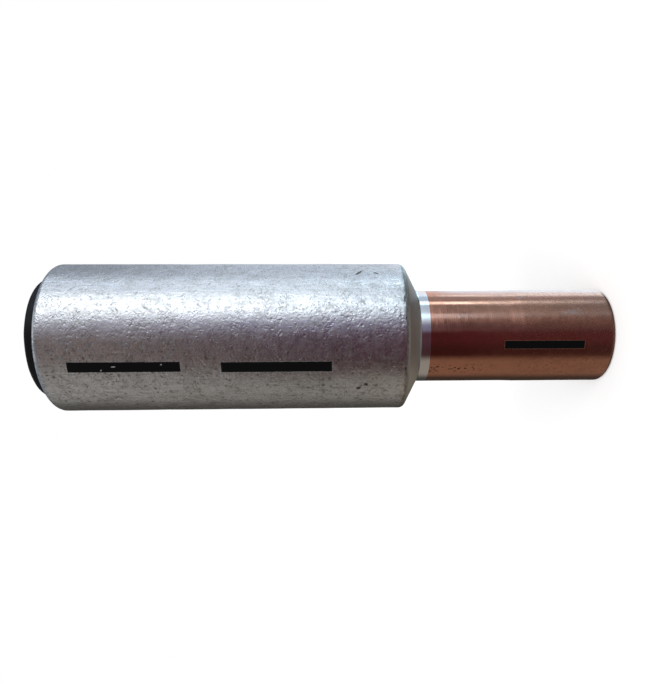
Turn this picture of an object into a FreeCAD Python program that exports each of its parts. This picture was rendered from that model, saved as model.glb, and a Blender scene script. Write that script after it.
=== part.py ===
import FreeCAD, Part
import math
import os

# Bimetal splice sleeve: an aluminium barrel friction welded to a copper barrel, plugged at its aluminium end.
# Millimetres. The sleeve stands on its copper end, with its axis on Z and the plug on top.

# Copper barrel
COPPER_LENGTH = 24.6            # from the open end to the weld
COPPER_BORE_DIAMETER = 8.2      # for a 35 square millimetre conductor
COPPER_WALL = 2.25              # of the stock, towards the open end
COPPER_WEB = 2.1                # solid copper between the bore's tip and the weld
COPPER_END_ROUND = 0.5
COPPER_MOUTH_CHAMFER = 0.35
CLEAN_UP_DEPTH = 0.05           # taken off the stock where the weld was turned clean
CLEAN_UP_LENGTH = 12.0          # back from the weld
CLEAN_UP_RUN_OUT = 0.4          # where the turning tool lifted off

# Aluminium barrel
ALUMINIUM_LENGTH = 49.5         # from the weld to the open end
ALUMINIUM_BORE_DIAMETER = 9.8   # for a 50 square millimetre conductor
ALUMINIUM_WALL = 5.1
ALUMINIUM_WEB = 4.5             # solid aluminium between the bore's tip and the weld
ALUMINIUM_END_ROUND = 0.6
ALUMINIUM_MOUTH_CHAMFER = 0.5
NECK_LENGTH = 1.3               # aluminium turned to the copper's diameter beside the weld
CONE_SLOPE_DEG = 28.0           # between the machined cone and a flat across the axis
SHOULDER_ROUND = 0.8            # tumbled edge where the cone meets the outside

# Point of the drill that made each bore
DRILL_POINT_DEG = 118.0

# End plug, moulded in one piece
PLUG_HEAD_THICKNESS = 1.8
PLUG_HEAD_OVERHANG = 3.25       # how far the head reaches past the bore, all round
PLUG_HEAD_CHAMFER = 0.3
PLUG_RIM_WIDTH = 2.65           # of the head's raised rim, round the dish in its middle
PLUG_DISH_DEPTH = 0.3
PLUG_STEM_LENGTH = 10.5
PLUG_STEM_CLEARANCE = 0.25      # between the stem and the bore, past the ribs
PLUG_WALL = 1.2                 # of the stem at its root
PLUG_DRAFT_DEG = 0.7            # taper of the stem's hollow, to leave the mould's core
PLUG_TIP_CHAMFER = 0.35
PLUG_RIB_COUNT = 2
PLUG_RIB_WIDTH = 1.2            # of one sealing rib, along the axis
PLUG_RIB_CLEARANCE = 0.05       # between a rib's crest and the bore

# Jointing compound in the blind end of the aluminium bore
COMPOUND_DEPTH = 8.0            # above the drill point

# Heights and radii that more than one piece shares
WELD_HEIGHT = COPPER_LENGTH
MOUTH_HEIGHT = WELD_HEIGHT + ALUMINIUM_LENGTH
COPPER_BORE_RADIUS = COPPER_BORE_DIAMETER / 2
COPPER_RADIUS = COPPER_BORE_RADIUS + COPPER_WALL
NECK_RADIUS = COPPER_RADIUS - CLEAN_UP_DEPTH
ALUMINIUM_BORE_RADIUS = ALUMINIUM_BORE_DIAMETER / 2


class Section:
    """Half of a turned piece's section, drawn in the plane y = 0 and then turned once about Z.

    It starts at one corner, goes to the next ones in order and closes itself. A corner can be rounded.
    """

    def __init__(self, radius, height):
        self.corners = [FreeCAD.Vector(radius, 0, height)]
        self.roundings = [0]

    def line(self, radius, height, rounding=0):
        """Goes straight to a corner."""
        self.corners.append(FreeCAD.Vector(radius, 0, height))
        self.roundings.append(rounding)

    def rounded(self, index):
        """Where one corner's rounding starts, has its middle and ends."""
        corner = self.corners[index]
        rounding = self.roundings[index]
        if not rounding:
            return corner, corner, corner
        back = (self.corners[index - 1] - corner).normalize()
        onward = (self.corners[(index + 1) % len(self.corners)] - corner).normalize()
        half_angle = back.getAngle(onward) / 2
        reach = rounding / math.tan(half_angle)
        cut_off = rounding / math.sin(half_angle) - rounding
        middle = corner + (back + onward).normalize() * cut_off
        return corner + back * reach, middle, corner + onward * reach

    def turned(self):
        """The solid that the section sweeps in one turn."""
        edges = []
        for index, rounding in enumerate(self.roundings):
            left = self.rounded(index - 1)[2]
            start, middle, end = self.rounded(index)
            edges.append(Part.LineSegment(left, start))
            if rounding:
                edges.append(Part.Arc(start, middle, end))
        face = Part.Face(Part.Wire([edge.toShape() for edge in edges]))
        solid = face.revolve(FreeCAD.Vector(0, 0, 0), FreeCAD.Vector(0, 0, 1), 360)
        if solid.Volume < 0:
            solid.reverse()
        return solid


def drill_point(radius):
    """How far a drill's point reaches past its full diameter."""
    return radius / math.tan(math.radians(DRILL_POINT_DEG / 2))


def drilled_hole(radius, mouth, tip, chamfer):
    """What a drill and a countersink take out, from the mouth's height to the height of the drill's tip."""
    inward = math.copysign(1, tip - mouth)
    hole = Section(0, tip)
    hole.line(radius, tip - inward * drill_point(radius))
    hole.line(radius, mouth + inward * chamfer)
    hole.line(radius + chamfer, mouth)
    hole.line(0, mouth)
    return hole.turned()


def copper_barrel():
    """The copper barrel, open at the bottom, with a turned stretch up to the weld."""
    clean_up_end = WELD_HEIGHT - CLEAN_UP_LENGTH
    outside = Section(0, 0)
    outside.line(COPPER_RADIUS, 0, COPPER_END_ROUND)
    outside.line(COPPER_RADIUS, clean_up_end - CLEAN_UP_RUN_OUT)
    outside.line(NECK_RADIUS, clean_up_end)
    outside.line(NECK_RADIUS, WELD_HEIGHT)
    outside.line(0, WELD_HEIGHT)
    bore = drilled_hole(COPPER_BORE_RADIUS, 0, WELD_HEIGHT - COPPER_WEB, COPPER_MOUTH_CHAMFER)
    return outside.turned().cut(bore)


def aluminium_bore_tip():
    """The height of the drill's tip in the aluminium."""
    return WELD_HEIGHT + ALUMINIUM_WEB


def aluminium_barrel():
    """The aluminium barrel: neck and cone above the weld, then the plain barrel, open at the top."""
    radius = ALUMINIUM_BORE_RADIUS + ALUMINIUM_WALL
    cone_foot = WELD_HEIGHT + NECK_LENGTH
    shoulder = cone_foot + (radius - NECK_RADIUS) * math.tan(math.radians(CONE_SLOPE_DEG))
    outside = Section(0, WELD_HEIGHT)
    outside.line(NECK_RADIUS, WELD_HEIGHT)
    outside.line(NECK_RADIUS, cone_foot)
    outside.line(radius, shoulder, SHOULDER_ROUND)
    outside.line(radius, MOUTH_HEIGHT, ALUMINIUM_END_ROUND)
    outside.line(0, MOUTH_HEIGHT)
    bore = drilled_hole(
        ALUMINIUM_BORE_RADIUS, MOUTH_HEIGHT, aluminium_bore_tip(), ALUMINIUM_MOUTH_CHAMFER
    )
    return outside.turned().cut(bore)


def draw_stem(section, radius, tip):
    """Draws the stem's outside down to its chamfered tip, with evenly spaced sealing ribs that come to an edge."""
    crest_radius = ALUMINIUM_BORE_RADIUS - PLUG_RIB_CLEARANCE
    pitch = PLUG_STEM_LENGTH / (PLUG_RIB_COUNT + 1)
    for number in range(PLUG_RIB_COUNT):
        crest = MOUTH_HEIGHT - (number + 1) * pitch
        section.line(radius, crest + PLUG_RIB_WIDTH / 2)
        section.line(crest_radius, crest)
        section.line(radius, crest - PLUG_RIB_WIDTH / 2)
    section.line(radius, tip + PLUG_TIP_CHAMFER)
    section.line(radius - PLUG_TIP_CHAMFER, tip)


def draw_hollow(section, radius, tip):
    """Draws the stem's hollow up to the head. It widens towards its open end, as a mould's core does."""
    widening = PLUG_STEM_LENGTH * math.tan(math.radians(PLUG_DRAFT_DEG))
    section.line(radius - PLUG_WALL + widening, tip)
    section.line(radius - PLUG_WALL, MOUTH_HEIGHT)
    section.line(0, MOUTH_HEIGHT)


def draw_head(section, head_radius, head_top):
    """Draws the head from the middle of its dish round to its outer edge and underside."""
    dish_radius = head_radius - PLUG_RIM_WIDTH
    dish_floor = head_top - PLUG_DISH_DEPTH
    section.line(0, dish_floor)
    section.line(dish_radius - PLUG_DISH_DEPTH, dish_floor)
    section.line(dish_radius, head_top)
    section.line(head_radius - PLUG_HEAD_CHAMFER, head_top)
    section.line(head_radius, head_top - PLUG_HEAD_CHAMFER)
    section.line(head_radius, MOUTH_HEIGHT)


def end_plug():
    """The plug: a dished head that sits on the aluminium's end face, and a hollow ribbed stem in its bore."""
    stem_radius = ALUMINIUM_BORE_RADIUS - PLUG_STEM_CLEARANCE
    head_radius = ALUMINIUM_BORE_RADIUS + PLUG_HEAD_OVERHANG
    head_top = MOUTH_HEIGHT + PLUG_HEAD_THICKNESS
    tip = MOUTH_HEIGHT - PLUG_STEM_LENGTH
    section = Section(stem_radius, MOUTH_HEIGHT)
    draw_stem(section, stem_radius, tip)
    draw_hollow(section, stem_radius, tip)
    draw_head(section, head_radius, head_top)
    return section.turned()


def jointing_compound():
    """The grease that fills the drilled point and the bottom of the aluminium bore."""
    radius = ALUMINIUM_BORE_RADIUS
    tip = aluminium_bore_tip()
    floor = tip + drill_point(radius)
    surface = floor + COMPOUND_DEPTH
    slug = Section(0, tip)
    slug.line(radius, floor)
    slug.line(radius, surface)
    slug.line(0, surface)
    return slug.turned()


PIECES = {
    "copper_barrel": copper_barrel,
    "aluminium_barrel": aluminium_barrel,
    "end_plug": end_plug,
    "jointing_compound": jointing_compound,
}

os.makedirs("parts", exist_ok=True)
for name, make in PIECES.items():
    make().exportStep(os.path.join("parts", name + ".step"))
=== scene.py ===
import math

import bpy
import numpy as np
from mathutils import Matrix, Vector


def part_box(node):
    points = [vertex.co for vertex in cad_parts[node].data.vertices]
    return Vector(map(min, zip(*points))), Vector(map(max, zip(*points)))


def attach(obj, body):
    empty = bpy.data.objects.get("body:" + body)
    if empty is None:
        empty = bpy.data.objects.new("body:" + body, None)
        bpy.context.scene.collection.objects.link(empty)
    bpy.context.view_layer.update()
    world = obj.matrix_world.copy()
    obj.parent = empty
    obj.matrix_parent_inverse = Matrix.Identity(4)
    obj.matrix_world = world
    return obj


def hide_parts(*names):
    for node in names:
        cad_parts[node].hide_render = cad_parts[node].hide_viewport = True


# Looks of a bimetal splice sleeve. Metres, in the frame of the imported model, where the sleeve stands on its
# copper end. An angle round the axis is 0 at -Y, the side with the crimp bars, and grows towards +X.

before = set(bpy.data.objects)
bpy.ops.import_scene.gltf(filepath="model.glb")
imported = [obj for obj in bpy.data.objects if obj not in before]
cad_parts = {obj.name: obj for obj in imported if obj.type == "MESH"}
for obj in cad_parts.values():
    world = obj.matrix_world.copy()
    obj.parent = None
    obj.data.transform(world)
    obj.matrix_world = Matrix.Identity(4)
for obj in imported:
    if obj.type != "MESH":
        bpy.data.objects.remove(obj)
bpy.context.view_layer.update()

MM = 0.001
MICRON = 0.000001

# Sizes that the frame gives
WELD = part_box("copper_barrel")[1].z
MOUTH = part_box("aluminium_barrel")[1].z
COPPER_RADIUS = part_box("copper_barrel")[1].x
ALUMINIUM_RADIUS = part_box("aluminium_barrel")[1].x
HEAD_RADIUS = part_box("end_plug")[1].x
HEAD_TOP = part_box("end_plug")[1].z
STEM_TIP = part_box("end_plug")[0].z
ALUMINIUM_BORE_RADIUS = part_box("jointing_compound")[1].x
COMPOUND_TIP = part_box("jointing_compound")[0].z
COMPOUND_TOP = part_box("jointing_compound")[1].z

# Sizes inside those boxes
COPPER_BORE_RADIUS = 4.1 * MM
COPPER_WEB = 2.1 * MM
COPPER_END_ROUND = 0.5 * MM
COPPER_MOUTH_CHAMFER = 0.35 * MM
NECK_RADIUS = COPPER_RADIUS - 0.05 * MM
CLEAN_UP_END = WELD - 12.0 * MM
CLEAN_UP_RUN_OUT = 0.4 * MM
CLEAN_UP_BLEND = 1.2 * MM       # how far the step fades into the turned stretch
NECK_TOP = WELD + 1.3 * MM
NECK_FILLET = 0.2 * MM
CONE_SLOPE = math.radians(28.0)
CONE_TOP = NECK_TOP + (ALUMINIUM_RADIUS - NECK_RADIUS) * math.tan(CONE_SLOPE)
SHOULDER_ROUND = 0.8 * MM
MOUTH_ROUND = 0.6 * MM
MOUTH_CHAMFER = 0.5 * MM
DRILL_POINT = math.radians(118.0)
STEM_RADIUS = ALUMINIUM_BORE_RADIUS - 0.25 * MM
RIB_RADIUS = ALUMINIUM_BORE_RADIUS - 0.05 * MM
STEM_WALL = 1.2 * MM
HOLLOW_WIDENING = 0.13 * MM     # from the head down to the tip
HOLLOW_BEVEL = (0.12 * MM, 0.10 * MM)   # at the tip, across and along
TIP_CHAMFER = 0.35 * MM
RIB_COUNT = 2
RIB_REACH = 0.6 * MM            # from a rib's crest to its foot
CREST_REACH = 0.1 * MM          # of the blunted crest, to each side
CREST_DROP = 0.01 * MM
ROOT_FILLET = 0.15 * MM
HEAD_ROUND = 0.45 * MM
HEAD_RIM = 2.65 * MM
HEAD_DISH = 0.3 * MM
GATE_MARK_RADIUS = 0.8 * MM
GATE_MARK_FOOT = 0.9 * MM
GATE_MARK_HEIGHT = 0.12 * MM
GREASE_DIP = 0.55 * MM          # of the grease's surface in its middle

# Crimp bars: lowest and highest end along the axis, then the middle and half width round it, in degrees
ALUMINIUM_BARS = (
    (37.52 * MM, 51.33 * MM, -21.95, 4.05),
    (56.27 * MM, 70.10 * MM, -21.40, 4.00),
)
COPPER_BARS = (
    (4.19 * MM, 14.85 * MM, -10.98, 5.05),
)

# Single marks on the aluminium: angle in degrees, height, half length, half width and how many degrees the
# length is turned from the axis
ALUMINIUM_DENTS = (
    (56.0, 33.95 * MM, 0.80 * MM, 0.22 * MM, 50),
    (55.4, 31.72 * MM, 0.44 * MM, 0.17 * MM, -39),
    (-41.4, 34.17 * MM, 0.36 * MM, 0.28 * MM, 20),
    (-37.8, 33.23 * MM, 0.32 * MM, 0.26 * MM, -15),
    (28.0, 28.38 * MM, 0.55 * MM, 0.17 * MM, 84),
    (13.0, 28.30 * MM, 0.30 * MM, 0.12 * MM, 70),
    (-24.0, 28.30 * MM, 0.28 * MM, 0.12 * MM, 95),
)
ALUMINIUM_SCRATCHES = (
    (-10.0, 63.90 * MM, 0.62 * MM, 0.07 * MM, 3),
    (-10.1, 63.10 * MM, 0.45 * MM, 0.06 * MM, -4),
    (-21.1, 64.47 * MM, 0.28 * MM, 0.08 * MM, 4),
    (-19.6, 58.60 * MM, 0.12 * MM, 0.09 * MM, 0),
    (-23.8, 66.00 * MM, 0.14 * MM, 0.07 * MM, 40),
)
SINGLE_DENT_DEPTH = 30 * MICRON

# A dent's raised rim as a share of its depth, the rim's spread and how many half lengths a dent reaches
RIM_SHARE = 0.35
RIM_SPREAD = 3.0
DENT_REACH = 2.5

# Dents at random places, in groups: how many, between which heights, their half widths and depths, and for
# gouges their lengths over widths and turns from the axis
GOUGE_STRETCH = (2.5, 6)
GOUGE_TURNS = (math.radians(-70), math.radians(70))
SKIN_DENTS = (
    (1300, CONE_TOP, MOUTH, (0.26 * MM, 0.55 * MM), (3 * MICRON, 13 * MICRON)),
    (60, CONE_TOP, MOUTH, (0.5 * MM, 1.1 * MM), (8 * MICRON, 22 * MICRON)),
    (70, CONE_TOP, MOUTH, (0.20 * MM, 0.26 * MM), (14 * MICRON, 36 * MICRON), GOUGE_STRETCH, GOUGE_TURNS),
    (90, CONE_TOP + 0.1 * MM, CONE_TOP + 0.8 * MM, (0.2 * MM, 0.5 * MM), (10 * MICRON, 35 * MICRON)),
    (60, MOUTH - 0.6 * MM, MOUTH, (0.2 * MM, 0.5 * MM), (8 * MICRON, 25 * MICRON)),
)
COPPER_DENTS = (
    (120, 0, CLEAN_UP_END, (0.15 * MM, 0.5 * MM), (1 * MICRON, 5 * MICRON)),
    (40, 0, 0.5 * MM, (0.15 * MM, 0.4 * MM), (4 * MICRON, 12 * MICRON)),
)

# How far dents' rims and the unevenness may stand proud
SKIN_PROUD = 4 * MICRON
COPPER_PROUD = 2 * MICRON

# Gentle unevenness: how many waves, their lengths and their height
SKIN_WAVES = (14, (4 * MM, 12 * MM), 11 * MICRON)
COPPER_WAVES = (8, (3 * MM, 9 * MM), 2 * MICRON)
HEAD_WAVES = (6, (5 * MM, 14 * MM), 14 * MICRON)
GREASE_WAVES = (10, (1.5 * MM, 5 * MM), 0.12 * MM)

# Marks on the copper: scuffs as angle in degrees, height, half size round and half size along
COPPER_SCUFFS = (
    (31, 5.6 * MM, 0.9 * MM, 1.7 * MM),
    (55, 12.3 * MM, 0.5 * MM, 1.1 * MM),
)
COPPER_PORES_ANGLE = math.radians(-45)
COPPER_RING_PITCH = 0.27 * MM

random = np.random.default_rng(50)


# Camera

FOCAL_LENGTH = 594.143          # pixels of the photograph's frame
IMAGE_SIZE = (654, 683)
PRINCIPAL_POINT = (348.458, 362.48)
CAMERA_PLACE = (0, -83.289 * MM, 38.274 * MM)
CAMERA_YAW = math.radians(2.143)
CAMERA_PITCH = math.atan2(PRINCIPAL_POINT[1] - 336.427, FOCAL_LENGTH)
CAMERA_ROLL = math.radians(-0.304)
SENSOR = 36.0


def add_camera():
    """Looks along +Y with +X up, so that the standing sleeve lies across the picture."""
    forward = np.array([0, math.cos(CAMERA_YAW), -math.sin(CAMERA_YAW)])
    right = np.array([0, -math.sin(CAMERA_YAW), -math.cos(CAMERA_YAW)])
    up = np.array([1.0, 0, 0])
    forward, up = (
        forward * math.cos(CAMERA_PITCH) - up * math.sin(CAMERA_PITCH),
        up * math.cos(CAMERA_PITCH) + forward * math.sin(CAMERA_PITCH),
    )
    right, up = (
        right * math.cos(CAMERA_ROLL) + up * math.sin(CAMERA_ROLL),
        up * math.cos(CAMERA_ROLL) - right * math.sin(CAMERA_ROLL),
    )
    data = bpy.data.cameras.new("camera")
    data.sensor_width = SENSOR
    longest = max(IMAGE_SIZE)
    data.lens = FOCAL_LENGTH / longest * SENSOR
    data.shift_x = (IMAGE_SIZE[0] / 2 - PRINCIPAL_POINT[0]) / longest
    data.shift_y = (PRINCIPAL_POINT[1] - IMAGE_SIZE[1] / 2) / longest
    data.clip_start = MM
    data.clip_end = 100.0
    camera = bpy.data.objects.new("camera", data)
    turn = Matrix((right, up, -forward)).transposed()
    camera.matrix_world = Matrix.Translation(CAMERA_PLACE) @ turn.to_4x4()
    bpy.context.scene.collection.objects.link(camera)
    bpy.context.scene.camera = camera


# Shader graphs

class Graph:
    """Adds nodes to a node tree. A value for an input is a number, a colour or another node's output."""

    def __init__(self, tree):
        self.tree = tree
        tree.nodes.clear()

    def add(self, kind, inputs=(), **settings):
        node = self.tree.nodes.new("ShaderNode" + kind)
        for name, value in settings.items():
            setattr(node, name, value)
        for name, value in dict(inputs).items():
            if isinstance(value, bpy.types.NodeSocket):
                self.tree.links.new(value, node.inputs[name])
            else:
                node.inputs[name].default_value = value
        return node

    def math(self, operation, *values):
        return self.add("Math", enumerate(values), operation=operation).outputs[0]

    def product(self, first, second):
        return self.math("MULTIPLY", first, second)

    def larger(self, first, *others):
        """The largest of the values."""
        for other in others:
            first = self.math("MAXIMUM", first, other)
        return first

    def opposite(self, share):
        return self.math("SUBTRACT", 1.0, share)

    def ramp(self, value, low, high, to_low=0.0, to_high=1.0):
        """Goes smoothly from to_low to to_high while value goes from low to high."""
        inputs = {"Value": value, "From Min": low, "From Max": high, "To Min": to_low, "To Max": to_high}
        return self.add("MapRange", inputs, interpolation_type="SMOOTHSTEP").outputs[0]

    def mix(self, share, first, second):
        """A colour between first, at share 0, and second, at share 1."""
        return self.add("Mix", ((0, share), (6, first), (7, second)), data_type="RGBA").outputs[2]

    def blend(self, share, first, second):
        """A number between first, at share 0, and second, at share 1."""
        return self.add("Mix", ((0, share), (2, first), (3, second))).outputs[0]

    def total(self, *terms):
        """The sum of terms, each a factor and a value."""
        result = 0.0
        for factor, value in terms:
            inputs = ((0, value), (1, factor), (2, result))
            result = self.add("Math", inputs, operation="MULTIPLY_ADD").outputs[0]
        return result

    def squares(self, first, second):
        """The sum of two squares."""
        return self.total((1.0, self.product(first, first)), (1.0, self.product(second, second)))

    def distance(self, value, middle):
        return self.math("ABSOLUTE", self.math("SUBTRACT", value, middle))

    def stretched(self, place, factors):
        return self.add("VectorMath", ((0, place), (1, factors)), operation="MULTIPLY").outputs[0]

    def bent(self, place, size, reach):
        """A place shifted by a noise with features of that size, by about reach at most."""
        wobble = self.add("TexNoise", {"Vector": place, "Scale": 1 / size, "Detail": 2.0}).outputs["Color"]
        shift = self.add("VectorMath", ((0, wobble), (1, (0.5, 0.5, 0.5))), operation="SUBTRACT").outputs[0]
        shift = self.add("VectorMath", {0: shift, "Scale": 2 * reach}, operation="SCALE").outputs[0]
        return self.add("VectorMath", ((0, place), (1, shift)), operation="ADD").outputs[0]

    def voronoi(self, flat, scale):
        inputs = {"Vector": flat, "Scale": scale}
        return self.add("TexVoronoi", inputs, feature="F1", voronoi_dimensions="2D").outputs

    def chosen(self, colour, share):
        """1 in about that share of a Voronoi texture's cells, and 0 in the others."""
        number = self.add("SeparateColor", {"Color": colour}).outputs[0]
        return self.math("LESS_THAN", number, share)

    def cells(self, flat, spacing, smallest, largest, share, distortion):
        """Spots on a rolled out surface. Its cells lie that far apart, and about that share holds one."""
        cell = self.voronoi(self.bent(flat, 2.5 * largest, distortion), 1 / spacing)
        size = self.add("SeparateColor", {"Color": cell["Color"]}).outputs[1]
        reach = self.ramp(size, 0.0, 1.0, smallest / spacing, largest / spacing)
        spot = self.ramp(self.math("DIVIDE", cell["Distance"], reach), 0.45, 1.0, 1.0, 0.0)
        return self.product(spot, self.chosen(cell["Color"], share))

    def strokes(self, flat, heading_deg, length, width, share):
        """Short scratches at a heading from the axis, on a rolled out surface."""
        inputs = {"Vector": flat, "Angle": math.radians(heading_deg)}
        turned = self.add("VectorRotate", inputs, rotation_type="Z_AXIS").outputs[0]
        cell = self.voronoi(self.stretched(turned, (1 / (4 * width), 1 / length, 1.0)), 1.0)
        stroke = self.ramp(cell["Distance"], 0.05, 0.22, 1.0, 0.0)
        return self.product(stroke, self.chosen(cell["Color"], share))

    def bump(self, microns):
        """A bump from a height in microns."""
        return self.add("Bump", {"Height": microns, "Distance": MICRON, "Strength": 1.0}).outputs[0]


class Place:
    """Where a surface point lies: its coordinates, height, and radius and angle round the axis."""

    def __init__(self, graph):
        self.point = graph.add("TexCoord").outputs["Object"]
        parts = graph.add("SeparateXYZ", {"Vector": self.point})
        x, y, self.height = parts.outputs
        self.angle = graph.math("ARCTAN2", x, graph.product(y, -1.0))
        self.radius = graph.math("SQRT", graph.squares(x, y))
        self.graph = graph

    def noise(self, size, detail=2.0, roughness=0.5, factors=None):
        """A noise with features of about that size. A factor under 1 stretches them along its axis."""
        point = self.point if factors is None else self.graph.stretched(self.point, factors)
        inputs = {"Vector": point, "Scale": 1 / size, "Detail": detail, "Roughness": roughness}
        return self.graph.add("TexNoise", inputs).outputs["Fac"]

    def unrolled(self, radius):
        """The surface rolled out flat: the way round, then the height, and on over the end face."""
        around = self.graph.product(self.angle, radius)
        along = self.graph.total((1.0, self.height), (-1.0, self.radius))
        return self.graph.add("CombineXYZ", {"X": around, "Y": along}).outputs[0]

    def marks(self, radius, made):
        """1 on single long marks and 0 beside them. Each has what ALUMINIUM_DENTS gives."""
        graph = self.graph
        share = 0.0
        for angle_deg, height, half_length, half_width, turn_deg in made:
            around = graph.math("SUBTRACT", self.angle, math.radians(angle_deg))
            around = graph.product(around, radius)
            along = graph.math("SUBTRACT", self.height, height)
            cosine, sine = math.cos(math.radians(turn_deg)), math.sin(math.radians(turn_deg))
            across = graph.total((cosine / half_width, around), (sine / half_width, along))
            onward = graph.total((cosine / half_length, along), (-sine / half_length, around))
            share = graph.larger(share, graph.ramp(graph.squares(across, onward), 0.3, 1.2, 1.0, 0.0))
        return share


def grey(level):
    return (level, level, level, 1.0)


def new_material(name):
    material = bpy.data.materials.new(name)
    material.use_nodes = True
    return material


def new_surface(name):
    """A new material with its graph and place."""
    material = new_material(name)
    graph = Graph(material.node_tree)
    return material, graph, Place(graph)


def finish_material(graph, inputs):
    shader = graph.add("BsdfPrincipled", inputs)
    graph.add("OutputMaterial", {"Surface": shader.outputs[0]})


# Print

INK_COLOUR = (0.0030, 0.0030, 0.0033, 1.0)
INK_ROUGHNESS = 0.55
INK_SPECULAR = 0.12
INK_EDGE = 0.03 * MM
INK_RAGGEDNESS = 0.10 * MM


def ink_share(graph, place, bars, radius, scratches):
    """1 inside the printed bars and 0 outside, with slightly ragged edges. Scratches go through the ink."""
    ragged = graph.math("SUBTRACT", place.noise(0.25 * MM), 0.5)
    ragged = graph.product(ragged, INK_RAGGEDNESS)
    share = 0.0
    for low, high, middle_deg, half_deg in bars:
        across = graph.product(graph.distance(place.angle, math.radians(middle_deg)), radius)
        along = graph.distance(place.height, (low + high) / 2)
        within = [
            graph.ramp(graph.math("ADD", off, ragged), half - INK_EDGE, half + INK_EDGE, 1.0, 0.0)
            for off, half in ((across, math.radians(half_deg) * radius), (along, (high - low) / 2))
        ]
        share = graph.larger(share, graph.product(*within))
    return graph.product(share, graph.opposite(scratches))


def finish_printed_metal(graph, ink, metal, rough, height, sheen=()):
    """A metal with bars of matt ink on it."""
    finish_material(graph, {
        "Base Color": graph.mix(ink, metal, INK_COLOUR),
        "Metallic": graph.opposite(ink),
        "Roughness": graph.blend(ink, rough, INK_ROUGHNESS),
        "Specular IOR Level": INK_SPECULAR,
        "Normal": graph.bump(height),
        **dict(sheen),
    })


# Aluminium

ALUMINIUM_COLOUR = (0.80, 0.81, 0.83, 1.0)
ALUMINIUM_STAIN = (0.33, 0.32, 0.29, 1.0)
ALUMINIUM_BLOOM = (0.90, 0.92, 0.95, 1.0)
ALUMINIUM_BARE = (0.95, 0.95, 0.95, 1.0)
CONE_COLOUR = (0.66, 0.64, 0.59, 1.0)
CONE_ROUGHNESS = 0.50
CONE_MARKS = 0.12               # how much of the skin's stains and bump the cone has
# Painted shadow below the seam, and the colour that the single dents are darkened to
DENT_AND_SHADOW_COLOUR = (0.09, 0.09, 0.10, 1.0)
SEAM = CONE_TOP + 0.33 * MM     # where the tumbled skin ends and the machined cone begins
SEAM_RAGGEDNESS = 0.60 * MM
# Painted highlight: the stains fade round this angle, the side that faces the window, so that side reads
# lighter
LIT_SIDE_ANGLE = math.radians(32)

# Bump of the tumbled skin in microns: its waves with their widths, then the depths of its marks
SKIN_SWELL = (0.85 * MM, 12.0)
SKIN_RIPPLE = ((0.36 * MM, 10.0), (0.23 * MM, 18.0), (0.12 * MM, 14.0))
MARK_DEPTHS = {
    "pits": 14.0, "specks": 10.0, "nicks": 16.0,
    "right_strokes": 9.0, "left_strokes": 9.0, "straight_strokes": 6.0,
    "hairs": 8.0, "cuts": 15.0, "scratches": 10.0,
}

# How dark the dirt in the skin's marks is, and how much the grain and the streaks add to it
MARK_DIRT = {"pits": 0.80, "specks": 0.80, "cuts": 0.70, "hairs": 0.75}
GRAIN_DIRT = 0.24
STREAK_DIRT = 0.22


def seam_shares(graph, place):
    """The tumbled skin as 1, then the dirt on its ragged edge, a painted shadow below it and a darker band
    above it.
    """
    uneven = graph.math("SUBTRACT", place.noise(0.7 * MM, 4.0, 0.6), 0.5)
    edge = graph.math("ADD", place.height, graph.product(uneven, SEAM_RAGGEDNESS))
    tumbled = graph.ramp(edge, SEAM - 0.03 * MM, SEAM + 0.05 * MM)
    # Patches for the dirt on the edge, the painted shadow below it and the darker band above it
    dirt = graph.ramp(place.noise(0.9 * MM), 0.35, 0.60, 0.35, 1.0)
    on_edge = graph.ramp(graph.distance(edge, SEAM), 0.03 * MM, 0.20 * MM, 1.0, 0.0)
    # Painted shadow: a dark band just below the skin's ragged edge
    below = graph.ramp(graph.distance(edge, SEAM - 0.06 * MM), 0.04 * MM, 0.24 * MM, 0.60, 0.0)
    above = graph.product(graph.ramp(edge, SEAM, SEAM + 0.60 * MM, 0.85, 0.0), dirt)
    return tumbled, graph.product(on_edge, dirt), graph.product(below, dirt), graph.product(above, tumbled)


def tumbling_marks(graph, place, patches):
    """The marks on the tumbled skin by name, each 1 on its marks and 0 beside them."""
    flat = place.unrolled(ALUMINIUM_RADIUS)
    bent = graph.bent(flat, 0.9 * MM, 0.35 * MM)
    curled = graph.bent(flat, 0.55 * MM, 0.30 * MM)
    crowded = graph.ramp(place.noise(2.2 * MM), 0.38, 0.60, 0.30, 1.0)
    specks = graph.cells(flat, 0.40 * MM, 0.07 * MM, 0.13 * MM, 0.62, 0.18 * MM)
    nicks = graph.cells(flat, 0.70 * MM, 0.09 * MM, 0.20 * MM, 0.50, 0.22 * MM)
    hairs = graph.strokes(curled, -70, 1.1 * MM, 0.085 * MM, 0.34)
    return {
        "pits": graph.cells(flat, 1.00 * MM, 0.10 * MM, 0.27 * MM, 0.60, 0.32 * MM),
        "specks": graph.product(specks, crowded),
        "nicks": graph.product(nicks, graph.ramp(patches, 0.42, 0.60, 0.35, 1.0)),
        "right_strokes": graph.strokes(flat, 48, 1.5 * MM, 0.16 * MM, 0.45),
        "left_strokes": graph.strokes(flat, -58, 1.3 * MM, 0.14 * MM, 0.50),
        "straight_strokes": graph.strokes(flat, 4, 2.2 * MM, 0.15 * MM, 0.62),
        "hairs": graph.product(hairs, crowded),
        "cuts": graph.larger(
            graph.strokes(bent, 40, 2.6 * MM, 0.10 * MM, 0.26),
            graph.strokes(bent, -52, 2.1 * MM, 0.10 * MM, 0.22),
        ),
        "rubbed": graph.strokes(flat, 2, 3.2 * MM, 0.075 * MM, 0.12),
        "ink_loss": graph.cells(flat, 2.6 * MM, 0.03 * MM, 0.07 * MM, 0.15, 0.05 * MM),
        "dents": place.marks(ALUMINIUM_RADIUS, ALUMINIUM_DENTS),
        "scratches": place.marks(ALUMINIUM_RADIUS, ALUMINIUM_SCRATCHES),
    }


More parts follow.
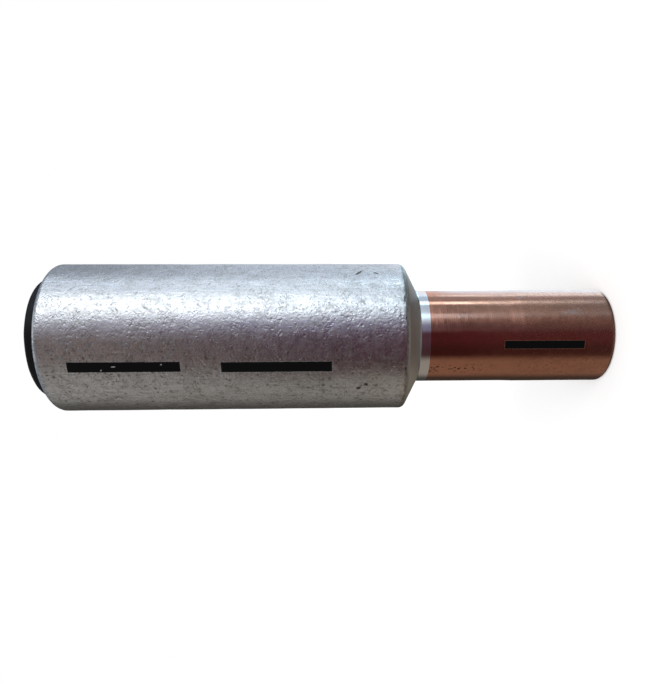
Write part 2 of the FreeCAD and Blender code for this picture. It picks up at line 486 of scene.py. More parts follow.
def skin_stain(graph, place, marks, patches):
    """How stained the skin is: clouds of dirt, dirt in the marks, a fine grain and streaks along the axis."""
    # Painted highlight: less stain where the window's highlight falls, full stain elsewhere
    stain_faded_on_lit_side = graph.ramp(graph.distance(place.angle, LIT_SIDE_ANGLE), 0.30, 0.85, 0.35, 1.0)
    clouds = place.noise(0.62 * MM, 3.0, 0.6, factors=(1, 1, 0.6))
    clouds = graph.math("ADD", clouds, graph.product(graph.math("SUBTRACT", patches, 0.5), 0.35))
    clouds = graph.ramp(clouds, 0.50, 0.74, 0.0, 0.50)
    grain = graph.ramp(place.noise(0.19 * MM, 2.0, 0.7), 0.32, 0.68)
    streaks = graph.ramp(place.noise(0.30 * MM, 3.0, factors=(1, 1, 0.08)), 0.35, 0.65)
    stain = graph.larger(
        clouds,
        graph.product(marks["pits"], graph.product(stain_faded_on_lit_side, MARK_DIRT["pits"])),
        *(graph.product(marks[name], MARK_DIRT[name]) for name in ("specks", "cuts", "hairs")),
    )
    stain = graph.total((1.0, stain), (GRAIN_DIRT, grain))
    stain = graph.product(stain, graph.ramp(stain_faded_on_lit_side, 0.35, 1.0, 0.70, 1.05))
    return graph.total((1.0, stain), (STREAK_DIRT, streaks))


def skin_height(graph, place, marks):
    """The skin's bump in microns: a swell, a ripple that comes and goes, and the marks."""
    lively = graph.ramp(place.noise(1.9 * MM, 3.0, 0.6), 0.36, 0.64, 0.45, 1.45)
    level = sum(height for _, height in SKIN_RIPPLE) / 2
    ripple = graph.total(
        *((height, place.noise(width, 1.0)) for width, height in SKIN_RIPPLE),
        (-level, 1.0),
    )
    swell_width, swell_height = SKIN_SWELL
    return graph.total(
        (swell_height, place.noise(swell_width, 1.0)),
        (1.0, graph.product(ripple, lively)),
        *((-depth, marks[name]) for name, depth in MARK_DEPTHS.items()),
    )


def tumbled_aluminium():
    """The barrel's tumbled outside and, below its ragged edge, the machined cone. It carries crimp bars."""
    material, graph, place = new_surface("aluminium_tumbled")
    patches = place.noise(4.0 * MM)
    marks = tumbling_marks(graph, place, patches)
    tumbled, on_seam, shadow_below_seam, above_seam = seam_shares(graph, place)
    machined = graph.ramp(tumbled, 0.0, 1.0, 1.0, 0.0)
    marked = graph.ramp(tumbled, 0.0, 1.0, CONE_MARKS, 1.0)

    stain = graph.product(skin_stain(graph, place, marks, patches), marked)
    stain = graph.larger(stain, graph.larger(on_seam, above_seam))
    metal = graph.mix(stain, ALUMINIUM_COLOUR, ALUMINIUM_STAIN)
    bloom = graph.ramp(place.noise(1.8 * MM, 4.0, 0.6), 0.35, 0.65)
    metal = graph.mix(graph.product(bloom, 0.35), metal, ALUMINIUM_BLOOM)
    bare = graph.larger(graph.product(marks["scratches"], 0.9), graph.product(marks["rubbed"], 0.5))
    metal = graph.mix(bare, metal, ALUMINIUM_BARE)
    metal = graph.mix(machined, metal, CONE_COLOUR)
    # The single dents darkened, and the painted shadow below the seam
    dents_and_shadow = graph.larger(graph.product(marks["dents"], 0.95), shadow_below_seam)
    metal = graph.mix(dents_and_shadow, metal, DENT_AND_SHADOW_COLOUR)
    ink_gone = graph.larger(marks["ink_loss"], marks["scratches"])
    ink = ink_share(graph, place, ALUMINIUM_BARS, ALUMINIUM_RADIUS, ink_gone)

    height = graph.product(skin_height(graph, place, marks), marked)
    height = graph.product(height, graph.ramp(ink, 0.0, 1.0, 1.0, 0.5))
    rough = graph.ramp(place.noise(0.6 * MM, 3.0), 0.25, 0.75, 0.19, 0.30)
    rough = graph.math("ADD", rough, graph.product(stain, 0.14))
    rough = graph.blend(machined, rough, CONE_ROUGHNESS)
    finish_printed_metal(graph, ink, metal, rough, height)
    return material


# Turned and drilled metal

# Roughness, pitch of the tool's rings, their depth in microns and how stained the metal is
NECK_TURNING = (0.14, 0.11 * MM, 0.5, 0.15)
DRILLING = (0.38, 0.4 * MM, 2.0, 0.5)


def rings(graph, place, pitch):
    """The fine turns that a lathe tool leaves, uneven in depth."""
    drift = graph.product(place.noise(1.5 * MM), 0.9 * pitch)
    turns = graph.math("DIVIDE", graph.math("ADD", place.height, drift), pitch)
    ring = graph.math("SINE", graph.product(turns, math.tau))
    depth = place.noise(0.60 * MM, factors=(0.35, 0.35, 1))
    return graph.product(ring, graph.ramp(depth, 0.38, 0.62, 0.15, 1.0))


def lathe_sheen(graph, strength):
    """Shader inputs for the drawn out gloss of fine turns round the axis."""
    return {
        "Anisotropic": strength,
        "Anisotropic Rotation": 0.25,
        "Tangent": graph.add("Tangent", direction_type="RADIAL", axis="Z").outputs[0],
    }


def turned_metal(name, colour, stain_colour, roughness, pitch, depth, stained):
    """Metal with the rings of a tool."""
    material, graph, place = new_surface(name)
    scratches = place.noise(0.06 * MM, factors=(0.05, 0.05, 1))
    stain = graph.ramp(place.noise(1.4 * MM, 5.0, 0.65), 0.52, 0.85, 0.0, stained)
    wear = place.noise(0.8 * MM, 3.0)
    finish_material(graph, {
        "Base Color": graph.mix(stain, colour, stain_colour),
        "Metallic": 1.0,
        "Roughness": graph.ramp(wear, 0.25, 0.75, roughness * 0.85, roughness * 1.15),
        "Normal": graph.bump(graph.total((depth, rings(graph, place, pitch)), (depth, scratches))),
        **lathe_sheen(graph, 0.5),
    })
    return material


# Copper

COPPER_COLOUR = (0.60, 0.285, 0.195, 1.0)
COPPER_STAIN = (0.26, 0.13, 0.095, 1.0)
COPPER_HANDLED = (0.56, 0.34, 0.27, 1.0)
# Painted shade on the rounded open end, standing in for a dark reflection
COPPER_END_SHADE = (0.16, 0.11, 0.08, 1.0)
COPPER_SCUFFED = (0.42, 0.37, 0.38, 1.0)
COPPER_DOT = (0.05, 0.028, 0.024, 1.0)

# Bump of the copper in microns
RING_HEIGHT = 0.8
CHATTER_HEIGHT = 4.0
DRIFT_HEIGHT = 12.0
DRAWN_HEIGHT = 2.0
PORE_DEPTH = 4.0


def copper_haze(graph, place, turned):
    """How dulled the copper is: clouds and a finer mottle, both weaker on the turned stretch."""
    clouds = place.noise(1.3 * MM, 5.0, 0.65, factors=(1, 1, 0.5))
    clouds = graph.ramp(clouds, 0.42, 0.78, 0.0, 0.55)
    clouds = graph.product(clouds, graph.ramp(turned, 0.0, 1.0, 0.8, 0.55))
    mottle = graph.ramp(place.noise(0.42 * MM, 3.0, 0.6), 0.46, 0.66, 0.0, 0.42)
    mottle = graph.product(mottle, graph.ramp(turned, 0.0, 1.0, 1.0, 0.25))
    return graph.larger(clouds, mottle)


def copper_scuffs(graph, place):
    """How scuffed the copper is, in patches with torn edges."""
    torn = place.noise(0.45 * MM, 3.0, 0.6, factors=(1, 1, 0.6))
    scuffs = 0.0
    for angle_deg, height, half_width, half_length in COPPER_SCUFFS:
        across = graph.distance(place.angle, math.radians(angle_deg))
        across = graph.product(across, COPPER_RADIUS / half_width)
        along = graph.product(graph.distance(place.height, height), 1 / half_length)
        near = graph.math("SQRT", graph.squares(across, along))
        reach = graph.total((1.0, near), (6.0, graph.math("SUBTRACT", torn, 0.44)))
        scuffs = graph.larger(scuffs, graph.ramp(reach, 0.25, 0.85, 0.50, 0.0))
    return scuffs


def copper_pores(graph, place, flat):
    """Pores in a narrow stretch beside the weld."""
    leaning = graph.stretched(graph.bent(flat, 0.5 * MM, 0.22 * MM), (1.0, 0.75, 1.0))
    pores = graph.cells(leaning, 0.36 * MM, 0.07 * MM, 0.17 * MM, 0.62, 0.08 * MM)
    beside = graph.ramp(graph.distance(place.angle, COPPER_PORES_ANGLE), 0.06, 0.18, 1.0, 0.0)
    close = graph.ramp(place.height, WELD - 9.5 * MM, WELD - 5.0 * MM)
    return graph.product(pores, graph.product(beside, close))


def copper_outside():
    """Drawn copper stock, turned clean towards the weld. It carries a crimp bar."""
    material, graph, place = new_surface("copper_outside")
    flat = place.unrolled(COPPER_RADIUS)
    turned = graph.ramp(place.height, CLEAN_UP_END - CLEAN_UP_RUN_OUT, CLEAN_UP_END + CLEAN_UP_BLEND)
    near_weld = graph.ramp(place.height, CLEAN_UP_END, WELD)
    haze = copper_haze(graph, place, turned)
    scuffs = copper_scuffs(graph, place)
    pores = copper_pores(graph, place, flat)
    specks = graph.cells(flat, 1.1 * MM, 0.04 * MM, 0.09 * MM, 0.45, 0.10 * MM)

    metal = graph.mix(haze, COPPER_COLOUR, COPPER_STAIN)
    handled = graph.ramp(place.height, 0.0, 6.0 * MM, 0.20, 0.0)
    metal = graph.mix(handled, metal, COPPER_HANDLED)
    # Painted shade: the rounded open end is darkened, as a dark reflection would darken it
    end_shade = graph.ramp(place.height, 0.10 * MM, 0.50 * MM, 0.55, 0.0)
    metal = graph.mix(end_shade, metal, COPPER_END_SHADE)
    metal = graph.mix(scuffs, metal, COPPER_SCUFFED)
    dots = graph.larger(pores, graph.product(specks, 0.6))
    metal = graph.mix(graph.product(dots, 0.9), metal, COPPER_DOT)
    ink = ink_share(graph, place, COPPER_BARS, COPPER_RADIUS, 0.0)

    drawn = place.noise(0.14 * MM, factors=(1, 1, 0.04))
    chatter = place.noise(0.26 * MM, 3.0, 0.6, factors=(0.4, 0.4, 1))
    drift = place.noise(0.8 * MM, factors=(0.3, 0.3, 1))
    height = graph.total(
        (RING_HEIGHT, graph.product(rings(graph, place, COPPER_RING_PITCH), turned)),
        (CHATTER_HEIGHT, graph.product(chatter, turned)),
        (DRIFT_HEIGHT, graph.product(drift, turned)),
        (DRAWN_HEIGHT, graph.product(drawn, graph.opposite(turned))),
        (-PORE_DEPTH, pores),
    )
    wear = graph.ramp(place.noise(0.9 * MM, 3.0), 0.25, 0.75, -0.03, 0.03)
    rough = graph.math("ADD", graph.ramp(near_weld, 0.0, 1.0, 0.23, 0.12), wear)
    rough = graph.math("ADD", rough, graph.product(graph.math("ADD", haze, scuffs), 0.12))
    finish_printed_metal(graph, ink, metal, rough, height, lathe_sheen(graph, 0.6))
    return material


# Plug and grease

PLASTIC_COLOUR = (0.004, 0.004, 0.005, 1.0)
PLASTIC_SCUFFED = (0.014, 0.014, 0.017, 1.0)
GREASE_DARK = (0.30, 0.29, 0.26, 1.0)
GREASE_PALE = (0.42, 0.41, 0.38, 1.0)


def moulded_plastic():
    """Black polyethylene, matt and slightly cloudy, with faint scuffs."""
    material, graph, place = new_surface("plug_plastic")
    cloud = place.noise(2.5 * MM, 3.0)
    grain = place.noise(0.15 * MM)
    scuffs = graph.ramp(place.noise(0.7 * MM, 4.0, 0.7), 0.60, 0.75)
    finish_material(graph, {
        "Base Color": graph.mix(scuffs, PLASTIC_COLOUR, PLASTIC_SCUFFED),
        "Roughness": graph.ramp(cloud, 0.3, 0.7, 0.42, 0.58),
        "Specular IOR Level": 0.25,
        "Normal": graph.bump(graph.product(grain, 4.0)),
    })
    return material


def contact_grease():
    """Grease with zinc grit in it."""
    material, graph, place = new_surface("grease")
    grit = place.noise(0.12 * MM)
    finish_material(graph, {
        "Base Color": graph.mix(graph.ramp(grit, 0.4, 0.7), GREASE_DARK, GREASE_PALE),
        "Roughness": 0.3,
        "Normal": graph.bump(graph.product(grit, 6.0)),
    })
    return material


# Turned meshes

SHARP_EDGE = math.radians(20)   # from one face to the next, where the shading breaks


class Profile:
    """Half a section as points of radius, height and the material slot of the stretch that ends there."""

    def __init__(self, radius, height):
        self.points = [(radius, height, 0)]

    def line(self, radius, height, pieces, slot=0):
        from_radius, from_height, _ = self.points[-1]
        for step in range(1, pieces + 1):
            share = step / pieces
            self.points.append((
                from_radius + (radius - from_radius) * share,
                from_height + (height - from_height) * share,
                slot,
            ))

    def arc(self, middle_radius, middle_height, size, start_deg, end_deg, pieces, slot=0):
        """An arc about a middle point. Its angle is 0 towards larger radii and 90 towards larger heights."""
        for step in range(pieces + 1):
            angle = math.radians(start_deg + (end_deg - start_deg) * step / pieces)
            self.points.append((
                middle_radius + size * math.cos(angle),
                middle_height + size * math.sin(angle),
                slot,
            ))


def turned_faces(around, run, slots):
    """Faces of a turned mesh, with their slots and the places of their corners on its map.

    run has the share of the profile's length up to each of its points.
    """
    tip = (len(run) - 2) * around
    last = tip - around
    steps = [(j, (j + 1) % around, j / around, (j + 1) / around) for j in range(around)]
    faces, face_slots, places = [], [], []
    for here, onward, left, right in steps:
        faces.append((tip, onward, here))
        face_slots.append(slots[1])
        places += [((left + right) / 2, run[0]), (right, run[1]), (left, run[1])]
    for ring in range(len(run) - 3):
        base, above = ring * around, (ring + 1) * around
        low, high = run[ring + 1], run[ring + 2]
        for here, onward, left, right in steps:
            faces.append((base + here, base + onward, above + onward, above + here))
            face_slots.append(slots[ring + 2])
            places += [(left, low), (right, low), (right, high), (left, high)]
    for here, onward, left, right in steps:
        faces.append((last + here, last + onward, tip + 1))
        face_slots.append(slots[-1])
        places += [(left, run[-2]), (right, run[-2]), ((left + right) / 2, run[-1])]
    return faces, face_slots, places


def turned_mesh(name, profile, around, materials, shape):
    """A closed mesh swept once round Z. shape(angles, heights, radii) returns its radii and heights.

    The seam of its map is at the back. The first and last points of the profile lie on the axis.
    """
    radii, heights, slots = (np.array(column) for column in zip(*profile.points))
    angles = np.arange(around) / around * math.tau - math.pi
    ring_radii = np.repeat(radii[1:-1, None], around, axis=1)
    ring_heights = np.repeat(heights[1:-1, None], around, axis=1)
    ring_radii, ring_heights = shape(angles[None, :], ring_heights, ring_radii)
    across = np.stack([ring_radii * np.sin(angles), -ring_radii * np.cos(angles), ring_heights], axis=-1)
    points = np.concatenate([across.reshape(-1, 3), [[0, 0, heights[0]], [0, 0, heights[-1]]]])
    lengths = np.concatenate([[0], np.cumsum(np.hypot(np.diff(radii), np.diff(heights)))])
    faces, face_slots, places = turned_faces(around, lengths / lengths[-1], slots)
    mesh = bpy.data.meshes.new(name)
    mesh.from_pydata(points.tolist(), [], faces)
    mesh.polygons.foreach_set("material_index", np.array(face_slots, np.int32))
    mesh.uv_layers.new(name="OFBake").uv.foreach_set("vector", np.array(places, np.float32).ravel())
    mesh.shade_smooth()
    mesh.set_sharp_from_angle(angle=SHARP_EDGE)
    for material in materials:
        mesh.materials.append(material)
    piece = bpy.data.objects.new(name, mesh)
    bpy.context.scene.collection.objects.link(piece)
    return piece


def dent_field(angles, heights, radius, dents):
    """How deep the dents are at each point.

    A dent has an angle, a height, half its length and width, its turn from the axis and a depth.
    """
    depth = np.zeros(np.broadcast_shapes(angles.shape, heights.shape))
    angles = np.broadcast_to(angles, depth.shape)
    for angle, height, length, width, turn, size in dents:
        rows = np.abs(heights[:, 0] - height) < DENT_REACH * max(length, width)
        if not rows.any():
            continue
        across = (angles[rows] - angle + math.pi) % math.tau - math.pi
        across = across * radius
        along = heights[rows] - height
        u = (across * math.cos(turn) + along * math.sin(turn)) / width
        v = (along * math.cos(turn) - across * math.sin(turn)) / length
        spread = u ** 2 + v ** 2
        depth[rows] += size * (np.exp(-spread) - RIM_SHARE * np.exp(-spread / RIM_SPREAD))
    return depth


def random_dents(count, low, high, sizes, depths, stretch=(1.0, 1.6), turns=(0, math.pi)):
    """The dents of one group. It has what SKIN_DENTS gives."""
    dents = []
    for _ in range(count):
        size = random.uniform(*sizes)
        dents.append((
            random.uniform(-math.pi, math.pi),
            random.uniform(low, high),
            size * random.uniform(*stretch),
            size,
            random.uniform(*turns),
            random.uniform(*depths),
        ))
    return dents


def waves(angles, heights, radius, count, lengths, size):
    """A gentle unevenness, the sum of waves that close on themselves round the axis."""
    total = np.zeros(np.broadcast_shapes(angles.shape, heights.shape))
    for _ in range(count):
        length = random.uniform(*lengths)
        heading = random.uniform(0, math.pi)
        turns = round(math.tau * radius * math.cos(heading) / length)
        rise = math.tau * math.sin(heading) / length
        total += np.sin(turns * angles + rise * heights + random.uniform(0, math.tau))
    return total * size / math.sqrt(count)


def risen(values, start, reach):
    """0 up to the start, then growing evenly to 1 over that reach."""
    return np.clip((values - start) / reach, 0, 1)


# Pieces

def drill_reach(radius):
    return radius / math.tan(DRILL_POINT / 2)


def corner_reach(turn_deg):
    """How far a rounding of size 1 reaches along each side, where two stretches meet at this turn."""
    return math.tan(math.radians(turn_deg) / 2)


def aluminium_profile():
    skin, neck, bore = range(3)
    turn = 90 - math.degrees(CONE_SLOPE)
    fillet_height = NECK_TOP - NECK_FILLET * corner_reach(turn)
    reach = SHOULDER_ROUND * corner_reach(turn)
    shoulder_radius = ALUMINIUM_RADIUS - SHOULDER_ROUND
    mouth_radius = ALUMINIUM_RADIUS - MOUTH_ROUND
    mouth_height = MOUTH - MOUTH_ROUND
    profile = Profile(0, WELD)
    profile.line(NECK_RADIUS, WELD, 6, neck)
    profile.line(NECK_RADIUS, fillet_height, 6, neck)
    profile.arc(NECK_RADIUS + NECK_FILLET, fillet_height, NECK_FILLET, 180, 180 - turn, 5, neck)
    profile.line(
        ALUMINIUM_RADIUS - reach * math.cos(CONE_SLOPE),
        CONE_TOP - reach * math.sin(CONE_SLOPE),
        18, skin,
    )
    profile.arc(shoulder_radius, CONE_TOP + reach, SHOULDER_ROUND, -turn, 0, 8, skin)
    profile.line(ALUMINIUM_RADIUS, mouth_height, 214, skin)
    profile.arc(mouth_radius, mouth_height, MOUTH_ROUND, 0, 90, 7, skin)
    profile.line(ALUMINIUM_BORE_RADIUS + MOUTH_CHAMFER, MOUTH, 6, skin)
    profile.line(ALUMINIUM_BORE_RADIUS, MOUTH - MOUTH_CHAMFER, 1, bore)
    profile.line(ALUMINIUM_BORE_RADIUS, COMPOUND_TIP + drill_reach(ALUMINIUM_BORE_RADIUS), 8, bore)
    profile.line(0, COMPOUND_TIP, 3, bore)
    return profile


def aluminium_shape(angles, heights, radii):
    """Tumbling marks on the outside: dents, nicked edges, a few gouges and a gentle unevenness."""
    dents = [dent for group in SKIN_DENTS for dent in random_dents(*group)]
    for angle_deg, height, half_length, half_width, turn_deg in ALUMINIUM_DENTS:
        turn = math.radians(turn_deg)
        dents.append((math.radians(angle_deg), height, half_length, half_width, turn, SINGLE_DENT_DEPTH))
    depth = dent_field(angles, heights, ALUMINIUM_RADIUS, dents)
    depth += waves(angles, heights, ALUMINIUM_RADIUS, *SKIN_WAVES)
    outside = risen(radii, ALUMINIUM_RADIUS - 0.7 * MM, 0.5 * MM) * risen(MOUTH - heights, 0, 0.3 * MM)
    return radii - np.maximum(depth, -SKIN_PROUD) * outside, heights


def copper_profile():
    outside, bore = range(2)
    bore_end = WELD - COPPER_WEB - drill_reach(COPPER_BORE_RADIUS)
    end_radius = COPPER_RADIUS - COPPER_END_ROUND
    profile = Profile(0, WELD - COPPER_WEB)
    profile.line(COPPER_BORE_RADIUS, bore_end, 3, bore)
    profile.line(COPPER_BORE_RADIUS, COPPER_MOUTH_CHAMFER, 8, bore)
    profile.line(COPPER_BORE_RADIUS + COPPER_MOUTH_CHAMFER, 0, 1, bore)
    profile.line(end_radius, 0, 3, outside)
    profile.arc(end_radius, COPPER_END_ROUND, COPPER_END_ROUND, -90, 0, 8, outside)
    profile.line(COPPER_RADIUS, CLEAN_UP_END - CLEAN_UP_RUN_OUT, 50, outside)
    profile.line(NECK_RADIUS, CLEAN_UP_END + CLEAN_UP_BLEND, 8, outside)
    profile.line(NECK_RADIUS, WELD, 56, outside)
    profile.line(0, WELD, 2, outside)
    return profile


def copper_shape(angles, heights, radii):
    """Light handling dents, more of them at the open end, and a gentle unevenness."""
    dents = [dent for group in COPPER_DENTS for dent in random_dents(*group)]
    depth = dent_field(angles, heights, COPPER_RADIUS, dents)
    depth += waves(angles, heights, COPPER_RADIUS, *COPPER_WAVES)
    outside = risen(radii, COPPER_RADIUS - 0.5 * MM, 0.3 * MM)
    below_weld = heights < WELD - 0.01 * MM
    return radii - np.maximum(depth, -COPPER_PROUD) * outside * below_weld, heights


def plug_profile():
    hollow_radius = STEM_RADIUS - STEM_WALL
    wide_radius = hollow_radius + HOLLOW_WIDENING
    bevel_width, bevel_height = HOLLOW_BEVEL
    crest_edge = RIB_RADIUS - CREST_DROP
    length = MOUTH - STEM_TIP
    profile = Profile(0, MOUTH)
    profile.line(hollow_radius, MOUTH, 2)
    profile.line(wide_radius, STEM_TIP + bevel_height, 6)
    profile.line(wide_radius + bevel_width, STEM_TIP, 1)
    profile.line(STEM_RADIUS - TIP_CHAMFER, STEM_TIP, 2)
    profile.line(STEM_RADIUS, STEM_TIP + TIP_CHAMFER, 2)
    for number in range(RIB_COUNT, 0, -1):
        crest = MOUTH - number * length / (RIB_COUNT + 1)
        profile.line(STEM_RADIUS, crest - RIB_REACH, 4)
        profile.line(crest_edge, crest - CREST_REACH, 3)
        profile.line(RIB_RADIUS, crest, 1)
        profile.line(crest_edge, crest + CREST_REACH, 1)
        profile.line(STEM_RADIUS, crest + RIB_REACH, 3)
    root_height = MOUTH - ROOT_FILLET
    profile.line(STEM_RADIUS, root_height, 4)
    profile.arc(STEM_RADIUS + ROOT_FILLET, root_height, ROOT_FILLET, 180, 90, 4)
    profile.line(HEAD_RADIUS, MOUTH, 4)
    edge_height = HEAD_TOP - HEAD_ROUND
    profile.line(HEAD_RADIUS, edge_height, 4)
    profile.arc(HEAD_RADIUS - HEAD_ROUND, edge_height, HEAD_ROUND, 0, 90, 8)
    dish_radius = HEAD_RADIUS - HEAD_RIM
    dish_floor = HEAD_TOP - HEAD_DISH
    profile.line(dish_radius, HEAD_TOP, 5)
    profile.line(dish_radius - HEAD_DISH, dish_floor, 3)
    profile.line(GATE_MARK_FOOT, dish_floor, 8)
    profile.line(GATE_MARK_RADIUS, dish_floor + GATE_MARK_HEIGHT, 2)
    profile.line(0, dish_floor + GATE_MARK_HEIGHT, 2)
    return profile


def plug_shape(angles, heights, radii):
    """The slight lack of flatness and roundness of a soft moulding, on its head alone."""
    head = risen(heights, MOUTH, 1 * MM)
    sink = waves(angles, radii, HEAD_RADIUS, *HEAD_WAVES)
    return radii - np.abs(sink) * head, heights - np.abs(sink) * head


def compound_profile():
    profile = Profile(0, COMPOUND_TIP)
    floor = COMPOUND_TIP + drill_reach(ALUMINIUM_BORE_RADIUS)
    profile.line(ALUMINIUM_BORE_RADIUS, floor, 6)
    profile.line(ALUMINIUM_BORE_RADIUS, COMPOUND_TOP, 8)
    profile.line(0, COMPOUND_TOP, 24)
    return profile


def compound_shape(angles, heights, radii):
    """A smeared free surface, lower in the middle and clinging to the bore."""
    surface = heights > COMPOUND_TOP - 0.01 * MM
    share = radii / ALUMINIUM_BORE_RADIUS
    lumps = waves(angles, radii, ALUMINIUM_BORE_RADIUS, *GREASE_WAVES)
    dip = GREASE_DIP * (1 - share ** 2) + np.abs(lumps) * (1 - share ** 6)
    return radii, heights - dip * surface


def add_pieces():
    """Adds the pieces. Each has its CAD node, name, body, slot, profile, steps round, materials and shape."""
    aluminium = (
        tumbled_aluminium(),
        turned_metal("aluminium_turned", ALUMINIUM_COLOUR, ALUMINIUM_STAIN, *NECK_TURNING),
        turned_metal("aluminium_drilled", ALUMINIUM_COLOUR, ALUMINIUM_STAIN, *DRILLING),
    )
    copper = (
        copper_outside(),
        turned_metal("copper_drilled", COPPER_COLOUR, COPPER_STAIN, *DRILLING),
    )
    made = (
        ("aluminium_barrel", "aluminium_barrel_tumbled", "sleeve", "aluminium",
         aluminium_profile(), 320, aluminium, aluminium_shape),
        ("copper_barrel", "copper_barrel_turned", "sleeve", "copper",
         copper_profile(), 256, copper, copper_shape),
        ("end_plug", "end_plug_moulded", "plug", "plug",
         plug_profile(), 192, (moulded_plastic(),), plug_shape),
        ("jointing_compound", "jointing_compound_smeared", "sleeve", "compound",
         compound_profile(), 128, (contact_grease(),), compound_shape),
    )
    for node, name, body, slot, profile, around, materials, shape in made:
        piece = turned_mesh(name, profile, around, materials, shape)
        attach(piece, body)
        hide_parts(node)


# Studio

WHITE = grey(1.0)
FILL_LEVEL = 0.6                # of the plain light from all round
SUN_STRENGTH = 1.3
SUN_ANGLE = math.radians(50)
SUN_TILT = math.radians(38)
FLOOR_ALBEDO = 0.8
FLOOR_GLOW = 0.36               # brings the lit floor up to white
FLOOR_SIZE = 6.0

# What polished metal mirrors: a wall all round, and cards on it. Each card has the angle of its middle round
# the axis, its half width and soft edge, then its lowest and highest elevation and their soft edge, all in
# degrees, and its colour. Later ones cover earlier ones.
WALL_COLOUR = (0.64, 0.71, 0.82, 1.0)
CARDS = (
    # The wall behind, towards +X
    (150, 32, 5, -30, -10.8, 1, (1.08, 1.46, 1.78)),
    (139, 21, 5, -30, -16.5, 2, (1.32, 1.90, 2.26)),
    (121, 3.5, 1.5, -30, -10.9, 0.8, (2.45, 3.70, 4.40)),
    (150, 32, 6, -10.8, -7, 1, (0.98, 0.96, 1.00)),
    (160, 30, 8, -90, -32, 4, (0.80, 0.86, 0.90)),
    (150, 50, 14, 14, 90, 9, (0.28, 0.31, 0.36)),
    # The table, towards -X, and a dark coat in front
    (-98, 58, 12, -90, 90, 5, (0.235, 0.222, 0.203)),
    (-99, 60, 9, -90, -7, 3, (0.300, 0.250, 0.205)),
    (-54, 14, 12, -7, 12, 3, (0.110, 0.098, 0.096)),
    (-156, 34, 16, -90, 90, 5, (0.06, 0.055, 0.05)),
    (-150, 40, 15, -90, -32, 5, (0.22, 0.20, 0.17)),
    (-20, 37, 10, -90, 90, 5, (0.056, 0.022, 0.024)),
    (-73, 37, 12, 12, 90, 8, (0.32, 0.30, 0.28)),
    (-12, 26, 14, -5.2, 16, 1.6, (0.072, 0.046, 0.066)),
    (-2, 20, 12, -90, -10.6, 1, (0.106, 0.034, 0.050)),
    (-12, 32, 10, 12, 90, 10, (0.195, 0.150, 0.130)),
    # The coat's lighter sleeve
    (22, 10, 9, -10, 90, 3, (0.24, 0.205, 0.34)),
    (27, 13, 8, -90, -10, 3, (0.085, 0.050, 0.060)),
    (22, 10, 9, 12, 90, 10, (0.41, 0.40, 0.45)),
    # Windows, in front and towards +X
    (51, 15, 9, -6.8, 90, 2, (1.78, 1.92, 2.04)),
    (79, 14, 8, -6.2, 90, 1.5, (0.92, 1.02, 1.12)),
    (86, 16, 8, 12, 90, 8, (0.58, 0.66, 0.80)),
    (51, 15, 9, 12, 90, 8, (1.78, 1.84, 1.86)),
    # Shade, sky and sill below the windows
    (45, 24, 8, -90, -12.5, 1.5, (0.10, 0.085, 0.10)),
    (38, 18, 8, -90, -24, 1.5, (0.21, 0.17, 0.17)),
    (76, 28, 7, -90, -11, 3, (0.11, 0.145, 0.19)),
    (82, 30, 4, -90, -13.8, 2, (0.290, 0.395, 0.465)),
    (52, 5, 4, -17, -12.5, 1.5, (0.34, 0.66, 1.00)),
    (51.5, 6, 3, -10.3, -8, 1, (1.08, 1.26, 1.41)),
    (51, 6, 2.5, -12.4, -10.3, 0.7, (1.45, 2.20, 2.90)),
    # A bright strip between windows and wall
    (112, 9, 7, -90, -8, 3, (0.43, 0.54, 0.66)),
    (108, 42, 8, -90, -29, 1.5, (0.10, 0.08, 0.07)),
    (91.5, 4.5, 1.5, -11.3, -7.5, 1.2, (2.20, 2.50, 2.72)),
    (91.5, 4.5, 2, -7.5, 90, 2, (1.15, 1.27, 1.40)),
    (91.5, 4.5, 1.2, -16.8, -11.3, 1.2, (2.90, 4.20, 4.90)),
    (91.5, 4.5, 1.5, -26, -17.5, 2, (0.90, 1.40, 1.75)),
    # High up and low down
    (0, 180, 1, 40, 90, 8, (0.22, 0.25, 0.30)),
    (0, 180, 1, 68, 90, 8, (0.62, 0.66, 0.69)),
    (0, 180, 1, -90, -37, 4, (0.17, 0.165, 0.16)),
    (180, 75, 14, -90, -37, 4, (0.07, 0.065, 0.06)),
    (-165, 24, 10, -62, -37, 5, (0.42, 0.37, 0.30)),
    (176, 12, 6, -62, -37, 5, (0.36, 0.35, 0.34)),
    (0, 180, 1, -90, -72, 5, (0.25, 0.24, 0.23)),
)


def card_share(graph, angle, elevation, middle, half, soft, low, high, rise):
    """1 on a card and 0 beside it."""
    share = 1.0
    if half < 180:
        off = graph.math("WRAP", graph.math("SUBTRACT", angle, math.radians(middle)), math.pi, -math.pi)
        off = graph.math("ABSOLUTE", off)
        share = graph.ramp(off, math.radians(half - soft), math.radians(half + soft), 1.0, 0.0)
    if low > -90:
        above = graph.ramp(elevation, math.radians(low - rise), math.radians(low + rise))
        share = graph.product(share, above)
    if high < 90:
        below = graph.ramp(elevation, math.radians(high - rise), math.radians(high + rise), 1.0, 0.0)
        share = graph.product(share, below)
    return share


def mirrored(graph):
    """1 for the rays of reflections and of what is seen through a clear surface, 0 for the others."""
    light = graph.add("LightPath").outputs
    return graph.larger(light["Is Glossy Ray"], light["Is Transmission Ray"])


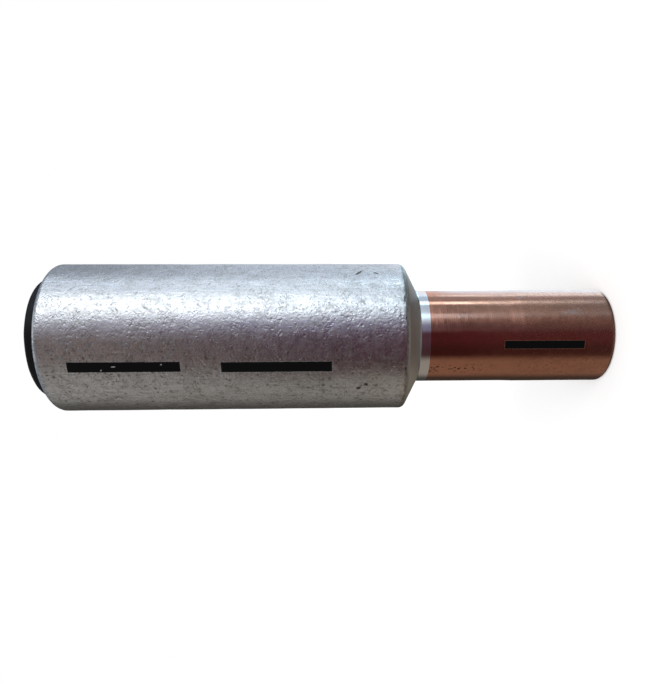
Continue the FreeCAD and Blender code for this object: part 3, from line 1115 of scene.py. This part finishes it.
def add_world():
    """White for the camera, plain for diffuse rays, and a studio of cards for reflections."""
    world = bpy.data.worlds.new("studio")
    bpy.context.scene.world = world
    world.use_nodes = True
    world.cycles.sampling_method = "NONE"
    graph = Graph(world.node_tree)
    parts = graph.add("SeparateXYZ", {"Vector": graph.add("TexCoord").outputs["Generated"]})
    x, y, z = parts.outputs
    flat = graph.math("SQRT", graph.squares(x, y))
    elevation = graph.math("ARCTAN2", z, flat)
    angle = graph.math("ARCTAN2", x, graph.product(y, -1.0))
    seen = WALL_COLOUR
    for *card, colour in CARDS:
        share = card_share(graph, angle, elevation, *card)
        seen = graph.mix(share, seen, (*colour, 1.0))
    colour = graph.mix(mirrored(graph), grey(FILL_LEVEL), seen)
    colour = graph.mix(graph.add("LightPath").outputs["Is Camera Ray"], colour, WHITE)
    background = graph.add("Background", {"Color": colour, "Strength": 1.0})
    graph.add("OutputWorld", {"Surface": background.outputs[0]})


def add_floor():
    """A plain white floor that takes the shadow. Reflections look through it to the studio."""
    half = FLOOR_SIZE / 2
    corners = [(-half, -half, 0), (half, -half, 0), (half, half, 0), (-half, half, 0)]
    mesh = bpy.data.meshes.new("floor")
    mesh.from_pydata(corners, [], [(0, 1, 2, 3)])
    material = new_material("floor")
    graph = Graph(material.node_tree)
    camera_ray = graph.add("LightPath").outputs["Is Camera Ray"]
    matt = graph.add("BsdfDiffuse", {"Color": grey(FLOOR_ALBEDO)}).outputs[0]
    glow = graph.add("Emission", {"Color": WHITE, "Strength": FLOOR_GLOW}).outputs[0]
    lit = graph.add("AddShader", ((0, matt), (1, glow))).outputs[0]
    shown = graph.add("MixShader", ((0, camera_ray), (1, matt), (2, lit))).outputs[0]
    through = graph.add("BsdfTransparent").outputs[0]
    surface = graph.add("MixShader", ((0, mirrored(graph)), (1, shown), (2, through))).outputs[0]
    graph.add("OutputMaterial", {"Surface": surface})
    mesh.materials.append(material)
    floor = bpy.data.objects.new("floor", mesh)
    bpy.context.scene.collection.objects.link(floor)


def add_sun():
    """A very soft lamp from above the camera's side. Metal doesn't mirror it."""
    data = bpy.data.lights.new("sun", "SUN")
    data.energy = SUN_STRENGTH
    data.angle = SUN_ANGLE
    sun = bpy.data.objects.new("sun", data)
    sun.rotation_euler = (SUN_TILT, 0, 0)
    sun.visible_glossy = False
    bpy.context.scene.collection.objects.link(sun)


bpy.context.scene.view_settings.view_transform = "Standard"
add_camera()
add_pieces()
add_world()
add_floor()
add_sun()
